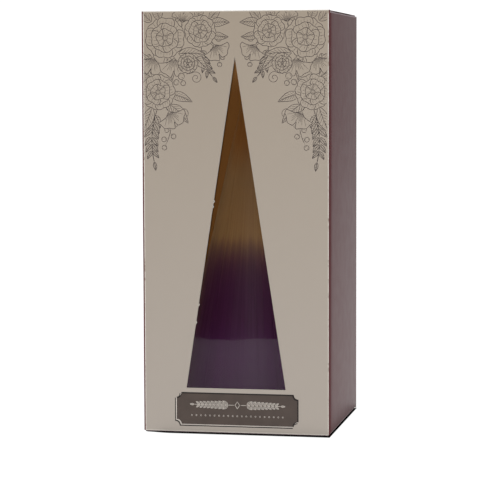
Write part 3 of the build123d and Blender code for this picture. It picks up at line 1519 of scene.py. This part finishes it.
    def add_burrs(self) -> None:
        """Leaves a few torn fibres on the left cut edge of the window."""
        foot, tip = self.window_heights
        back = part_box("front_panel")[0].y + self.burr_depth
        runs = []
        for height in self.burr_heights:
            edge = -self.window_half * (tip - height) / (tip - foot)
            runs.append([(edge + off * MM, back, height + rise * MM) for off, rise in self.burr_curl])
        burrs = round_tube("window_burrs", runs, self.burr_radius, sides=1)
        self.keep_print(burrs, InkFinish("raw_fibre", RAW_EDGE).material(self.shared))

    def keep_print(self, layer: bpy.types.Object, ink: bpy.types.Material) -> None:
        """Gives printed work its ink and lets it ride on the carton.

        Args:
            layer: The printed piece.
            ink: Its material.
        """
        set_material(layer, ink)
        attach(layer, "carton")
        LOG.info("%s: %d faces", layer.name, len(layer.data.polygons))

    def plaque_layer(self, name: str, grow: float, shift: Point, level: int) -> bpy.types.Object:
        """Makes one layer of the plaque, with scooped corners.

        Args:
            name: Name of the piece.
            grow: Width added all round.
            shift: Across and up from the plaque's middle, in millimetres.
            level: Number of the layer above the wall.

        Returns:
            The layer.
        """
        width, height = (side + 2 * grow for side in self.plaque_size)
        deselect_all()
        bpy.ops.mesh.primitive_plane_add(size=1.0)
        layer = bpy.context.object
        layer.name = name
        reshape(layer, lambda place: (place.x * width, place.y * height, 0))
        bpy.ops.object.mode_set(mode="EDIT")
        bpy.ops.mesh.select_all(action="SELECT")
        scoop = {"offset": self.plaque_scoop, "segments": 8, "profile": self.scoop_profile}
        bpy.ops.mesh.bevel(affect="VERTICES", **scoop)
        bpy.ops.object.mode_set(mode="OBJECT")
        thicken(layer, self.ink_thickness, offset=-1.0)
        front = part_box("front_panel")[0].y - level * self.layer_rise
        across, up = (middle + off * MM for middle, off in zip(self.plaque_middle, shift))
        reshape(layer, lambda place: (across + place.x, front - place.z, up + place.y))
        recalculate_normals(layer)
        return layer


@dataclass
class Candle:
    """Cone of wax strands with a twisted wick in each.

    Attributes:
        shared: Node groups of the scene.
        places: Names of the strands' places, in order round the candle from the front.
        foot_radius: Of the cone at its foot.
        tip_radius: Of the cone where the domed tip begins.
        wax_height: From foot to tip.
        dome_drop: How far the dome's edge lies below its middle.
        dome_share: Share of the height above which only the dome lies.
        core_radius: Of the round gap on the axis.
        seam: Degrees of the gap at each side of a strand.
        groove_depth: Of the rounded seam between two strands.
        groove_width: Of half of that seam.
        foot_rounding: Of the foot's edge.
        unevenness: Of the wax, in and out.
        cuts: Number of cuts along each edge of a strand's block.
        wick_radius: Of a whole wick.
        wick_ring: From the axis to a wick at the tip.
        wick_foot: From the axis to a wick at the foot.
        wick_out: Bare wick above the tip.
        wick_bend: Height above the tip at which a wick turns upright.
        wick_pitch: Height of a full turn of the wick's yarns.
        wick_parts: Number of parts along a yarn.
        yarns: Number of yarns in a wick.
        yarn_share: Of a yarn's radius in the wick's.
    """

    shared: SharedEffects
    places: tuple[str, ...] = ("front", "front_right", "back_right", "back", "back_left", "front_left")
    foot_radius: float = 40.5 * MM
    tip_radius: float = 4.5 * MM
    wax_height: float = 163 * MM
    dome_drop: float = 1.8 * MM
    dome_share: float = 0.98
    core_radius: float = 0.4 * MM
    seam: float = 0.1
    groove_depth: float = 0.06 * MM
    groove_width: float = 0.7 * MM
    foot_rounding: float = 0.8 * MM
    unevenness: float = 0.18 * MM
    cuts: int = 31
    wick_radius: float = 0.8 * MM
    wick_ring: float = 2.4 * MM
    wick_foot: float = 24.0 * MM
    wick_out: float = 12 * MM
    wick_bend: float = 2 * MM
    wick_pitch: float = 5 * MM
    wick_parts: int = 160
    yarns: int = 3
    yarn_share: float = 0.52

    def __post_init__(self) -> None:
        """Reads where the candle stands."""
        self.foot_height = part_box("wax_strand_front")[0].z

    def turn(self, number: int) -> float:
        """Angle of a strand's middle about the axis."""
        return -math.pi / 2 + number * math.tau / len(self.places)

    def build(self) -> None:
        """Builds all strands and wicks."""
        wax = WaxFinish().material(self.shared)
        cotton = CottonFinish().material(self.shared)
        for number, place in enumerate(self.places):
            strand = self.strand(f"wax_{place}", number)
            set_material(strand, wax)
            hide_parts(f"wax_strand_{place}")
            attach(strand, "candle")
            wick = self.wick(f"braided_wick_{place}", number)
            set_material(wick, cotton)
            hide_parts(f"wick_{place}")
            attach(wick, "candle")
            for piece in (strand, wick):
                LOG.info("%s: %d faces", piece.name, len(piece.data.polygons))

    def surface(self, angle: float, side: float, up: float) -> float:
        """Radius of the cone's uneven surface.

        Args:
            angle: About the axis.
            side: From -1 to 1 across the strand.
            up: From 0 at the foot to 1 at the tip.

        Returns:
            The radius.
        """
        radius = self.foot_radius + (self.tip_radius - self.foot_radius) * up
        seam = (1 - abs(side)) * self.half_sector() * radius
        radius -= self.groove_depth * math.exp(-((seam / self.groove_width) ** 2))
        radius -= self.foot_rounding * math.exp(-up * self.wax_height / self.foot_rounding)
        rough = noise.noise((math.cos(angle) * 9, math.sin(angle) * 9, up * 5)) * self.unevenness
        return radius + rough * min(1.0, 4 * (1 - up)) * min(1.0, 30 * up)

    def half_sector(self) -> float:
        """Half of the angle that a strand fills."""
        return math.pi / len(self.places) - math.radians(self.seam)

    def strand(self, name: str, number: int) -> bpy.types.Object:
        """Models one strand from a cube that is subdivided and drawn into a sector of the cone.

        Args:
            name: Name of the piece.
            number: Place in the ring.

        Returns:
            The strand.
        """
        deselect_all()
        bpy.ops.mesh.primitive_cube_add(size=2.0)
        strand = bpy.context.object
        strand.name = name
        bpy.ops.object.mode_set(mode="EDIT")
        bpy.ops.mesh.select_all(action="SELECT")
        bpy.ops.mesh.subdivide(number_cuts=self.cuts)
        bpy.ops.object.mode_set(mode="OBJECT")
        middle = self.turn(number)

        def draw(place: Vector) -> Place:
            """Moves a point of the cube into the strand.

            Args:
                place: From -1 to 1 outwards, across and up.

            Returns:
                Its place.
            """
            out, up = (place.x + 1) / 2, (place.z + 1) / 2
            side = math.sin(place.y * math.pi / 2)
            angle = middle + side * self.half_sector()
            radius = self.core_radius + (self.surface(angle, side, up) - self.core_radius) * out
            fall = min((radius / self.tip_radius) ** 2, 1.0) if up > self.dome_share else up
            height = up * self.wax_height - fall * self.dome_drop
            return (radius * math.cos(angle), radius * math.sin(angle), self.foot_height + height)

        reshape(strand, draw)
        recalculate_normals(strand)
        smooth(strand)
        return strand

    def wick(self, name: str, number: int) -> bpy.types.Object:
        """Models one wick as yarns that twist round its line.

        Args:
            name: Name of the piece.
            number: Place in the ring.

        Returns:
            The wick.
        """
        outward = Vector((math.cos(self.turn(number)), math.sin(self.turn(number)), 0))
        sideways = Vector((0, 0, 1)).cross(outward)
        top = self.wax_height + self.wick_out
        bend = self.wax_height + self.wick_bend
        yarn_radius = self.wick_radius * self.yarn_share
        around = self.wick_radius - yarn_radius
        runs = []
        for yarn in range(self.yarns):
            points = []
            for share in steps(self.wick_parts):
                height = yarn_radius + (top - yarn_radius) * share
                lean = min(height / bend, 1.0)
                reach = self.wick_foot + (self.wick_ring - self.wick_foot) * lean
                twist = math.tau * (height / self.wick_pitch + yarn / self.yarns)
                line = outward * (reach + around * math.cos(twist)) + sideways * around * math.sin(twist)
                points.append((line.x, line.y, self.foot_height + height))
            runs.append(points)
        wick = round_tube(name, runs, yarn_radius, sides=1)
        smooth(wick, 60)
        return wick


@dataclass(frozen=True)
class Lamp:
    """A square soft lamp.

    Attributes:
        name: Of the lamp.
        place: Of its middle.
        size: Of its side.
        power: In watts.
    """

    name: str
    place: Place
    size: float
    power: float

    def add(self, aim: Place) -> None:
        """Adds the lamp to the scene.

        Args:
            aim: Place that it faces.
        """
        lamp = bpy.data.lights.new(self.name, "AREA")
        lamp.size = self.size
        lamp.energy = self.power
        holder = bpy.data.objects.new(self.name, lamp)
        bpy.context.collection.objects.link(holder)
        holder.location = self.place
        ahead = Vector(aim) - Vector(self.place)
        holder.rotation_euler = ahead.to_track_quat("-Z", "Y").to_euler()


@dataclass
class Studio:
    """White table, soft lamps and the camera.

    Attributes:
        camera_place: Of the camera.
        pitch: Degrees that the camera looks down.
        yaw: Degrees that it looks to the left of straight ahead.
        roll: Degrees that it leans.
        lens: Focal length on the sensor.
        sensor: Width of the sensor.
        lamps: Soft lamps.
        lamp_aim: Place that the lamps face.
        table_front: Where the table ends in front of the carton.
        table_size: Width and depth of the table.
        table_drop: How far the table lies below the carton, so that an opened lid shows on it.
        table_paint: Colour of the table.
        shade_paint: Colour of the table in the deepest shade.
        table_glow: Strength of the light that makes the table white.
        glow_share: Share of that light in what the camera sees.
        card_place: Where the dark card stands in front of the carton.
        card_size: Width and height of the card.
        card_paint: Colour of the card.
        front_shade: How far the shade reaches in front of the carton.
        side_shade: How far it reaches at the carton's sides.
        mirrored_shade: How much further it reaches in mirrors.
        mirrored_light: Share of the table's light that stays in the mirrored shade.
        shade_taper: Length over which the front's shade grows from the left corner.
        shade_inset: How far from the left and back edges the shade ends.
        sky_light: Strength of the even light.
        sky_gloss: Strength that is added in mirrors.
        sky_white: Strength that the camera sees.
    """

    camera_place: Place = (0.19397, -1.00868, 0.16715)
    pitch: float = 4.624
    yaw: float = 10.978
    roll: float = -0.167
    lens: float = 150.5
    sensor: float = 36.0
    lamps: tuple[Lamp, ...] = (
        Lamp("key_lamp", (-0.9, -1.3, 1.5), 1.4, 11.0),
        Lamp("front_lamp", (0.194, -1.03, 0.169), 0.012, 3.1),
    )
    lamp_aim: Place = (0.0, 0.0, 0.1)
    table_front: float = -1.0
    table_size: Span = (6.0, 4.0)
    table_drop: float = 0.05 * MM
    table_paint: Colour = colour(0.86, 0.86, 0.86)
    shade_paint: Colour = colour(0.01, 0.005, 0.004)
    table_glow: float = 1.14
    glow_share: float = 0.86
    card_place: float = -0.41
    card_size: Span = (5.0, 1.6)
    card_paint: Colour = colour(0.01, 0.01, 0.01)
    front_shade: float = 3.6 * MM
    side_shade: float = 0.5 * MM
    mirrored_shade: float = 11 * MM
    mirrored_light: float = 0.42
    shade_taper: float = 14 * MM
    shade_inset: float = 2 * MM
    sky_light: float = 0.45
    sky_gloss: float = 0.2
    sky_white: float = 1.1

    def build(self) -> None:
        """Builds the whole studio."""
        self.build_table()
        self.build_dark_card()
        self.light_world()
        for lamp in self.lamps:
            lamp.add(self.lamp_aim)
        self.place_camera()

    def sheet(self, name: str, parts: int, lay: Callable[[Vector], Place]) -> bpy.types.Object:
        """Adds a flat sheet.

        Args:
            name: Of the sheet.
            parts: Number of squares along each side.
            lay: Gives the place of a point of a square of side 1.

        Returns:
            The sheet.
        """
        deselect_all()
        bpy.ops.mesh.primitive_grid_add(x_subdivisions=parts, y_subdivisions=parts, size=1.0)
        made = bpy.context.object
        made.name = name
        reshape(made, lay)
        return made

    def build_table(self) -> None:
        """White table with a thin shadow round the carton, clear from below and under the carton."""
        width, depth = self.table_size

        def lay(place: Vector) -> Place:
            """Place on the table of a point of the square."""
            return (place.x * width, self.table_front + (place.y + 0.5) * depth, -self.table_drop)

        table = self.sheet("white_table", 8, lay)
        material, graph = new_material("white_table")
        shade = self.contact_shade(graph)
        plain = graph.node("BsdfDiffuse", {"Color": graph.mix(shade, self.shade_paint, self.table_paint)})
        level = graph.math("MULTIPLY", shade, self.table_glow)
        glow = graph.node("Emission", {"Color": WHITE, "Strength": level})
        share = graph.math("MULTIPLY", self.background_share(graph), self.glow_share)
        both = graph.node("MixShader", {0: share, 1: plain.outputs[0], 2: glow.outputs[0]})
        clear = graph.node("BsdfTransparent", {0: WHITE})
        shown = graph.node("MixShader", {0: self.hidden(graph), 1: both.outputs[0], 2: clear.outputs[0]})
        graph.node("OutputMaterial", {0: shown.outputs[0]})
        set_material(table, material)

    def background_share(self, graph: NodeGraph) -> Socket:
        """Adds the share of the table's own light.

        Args:
            graph: The table's tree.

        Returns:
            The share's socket, 1 for rays from the camera, from gloss and through glass, else 0.
        """
        path = graph.node("LightPath").outputs
        shown = graph.math("MAXIMUM", path["Is Camera Ray"], path["Is Glossy Ray"])
        return graph.math("MAXIMUM", shown, path["Is Transmission Ray"])

    def hidden(self, graph: NodeGraph) -> Socket:
        """Adds the mask of where the table is clear.

        Args:
            graph: The table's tree.

        Returns:
            The mask's socket, 1 from below and under the carton.
        """
        across, back, _ = graph.coordinates()
        reach = graph.math("MAXIMUM", graph.math("ABSOLUTE", across), graph.math("ABSOLUTE", back))
        under = graph.math("LESS_THAN", reach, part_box("front_panel")[1].x - self.shade_inset)
        return graph.math("MAXIMUM", under, graph.node("NewGeometry").outputs["Backfacing"])

    def contact_shade(self, graph: NodeGraph) -> Socket:
        """Adds the shade close to the carton: a strip in front, a hairline at its sides, wider in mirrors.

        Args:
            graph: The table's tree.

        Returns:
            The shade's socket, 1 in the open.
        """
        least_taper, darkest, lightest = 0.05, 0.5, 1.0
        low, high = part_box("front_panel")[0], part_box("back_panel")[1]
        across, back, _ = graph.coordinates()
        taper = graph.math("MAXIMUM", graph.step(across, low.x, low.x + self.shade_taper), least_taper)
        ahead = graph.math("DIVIDE", graph.math("SUBTRACT", low.y, back), self.front_shade)
        ahead = graph.math("DIVIDE", ahead, taper)
        mirrored = graph.node("LightPath").outputs["Is Glossy Ray"]
        reach = graph.math("MULTIPLY_ADD", mirrored, self.mirrored_shade, self.side_shade)
        left = graph.math("SUBTRACT", low.x + self.shade_inset, across)
        beside = graph.math("MAXIMUM", graph.math("SUBTRACT", across, high.x), left)
        behind = graph.math("SUBTRACT", back, high.y - self.shade_inset)
        outside = graph.math("DIVIDE", graph.math("MAXIMUM", beside, behind), reach)
        shade = graph.step(graph.math("MAXIMUM", ahead, outside), darkest, lightest)
        return graph.math("MAXIMUM", shade, graph.math("MULTIPLY", mirrored, self.mirrored_light))

    def build_dark_card(self) -> None:
        """Dark card in front of the carton, which only mirrors show."""
        width, height = self.card_size

        def stand(place: Vector) -> Place:
            """Place on the card of a point of the square."""
            return (place.x * width, self.card_place, (place.y + 0.5) * height)

        card = self.sheet("dark_card", 2, stand)
        material, graph = new_material("dark_card")
        dark = graph.node("BsdfDiffuse", {"Color": self.card_paint})
        graph.node("OutputMaterial", {0: dark.outputs[0]})
        set_material(card, material)
        card.visible_camera = False
        card.visible_diffuse = False
        card.visible_shadow = False
        card.visible_transmission = False

    def light_world(self) -> None:
        """Even light all round, behind which the background is white."""
        world = bpy.data.worlds.new("studio")
        bpy.context.scene.world = world
        world.use_nodes = True
        graph = NodeGraph(world.node_tree)
        path = graph.node("LightPath").outputs
        seen = graph.math("MAXIMUM", path["Is Camera Ray"], path["Is Transmission Ray"])
        soft = graph.math("MULTIPLY_ADD", path["Is Glossy Ray"], self.sky_gloss, self.sky_light)
        level = graph.math("MAXIMUM", soft, graph.math("MULTIPLY", seen, self.sky_white))
        sky = graph.node("Background", {"Color": WHITE, "Strength": level})
        graph.node("OutputWorld", {0: sky.outputs[0]})

    def place_camera(self) -> None:
        """Puts the camera at the photograph's viewing angle."""
        data = bpy.data.cameras.new("camera")
        data.sensor_width = self.sensor
        data.lens = self.lens
        camera = bpy.data.objects.new("camera", data)
        bpy.context.collection.objects.link(camera)
        turned = (
            Matrix.Rotation(math.radians(self.yaw), 4, "Z")
            @ Matrix.Rotation(math.radians(90 - self.pitch), 4, "X")
            @ Matrix.Rotation(math.radians(self.roll), 4, "Z")
        )
        camera.matrix_world = Matrix.Translation(self.camera_place) @ turned
        bpy.context.scene.camera = camera


def main() -> None:
    """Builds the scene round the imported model."""
    logging.basicConfig(level=logging.INFO, format="%(message)s")
    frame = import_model()
    bpy.context.scene.view_settings.view_transform = "Standard"
    shared = SharedEffects.build()
    Carton(shared, frame["nodes"]).build()
    Candle(shared).build()
    Studio().build()


if __name__ == "__main__":
    main()
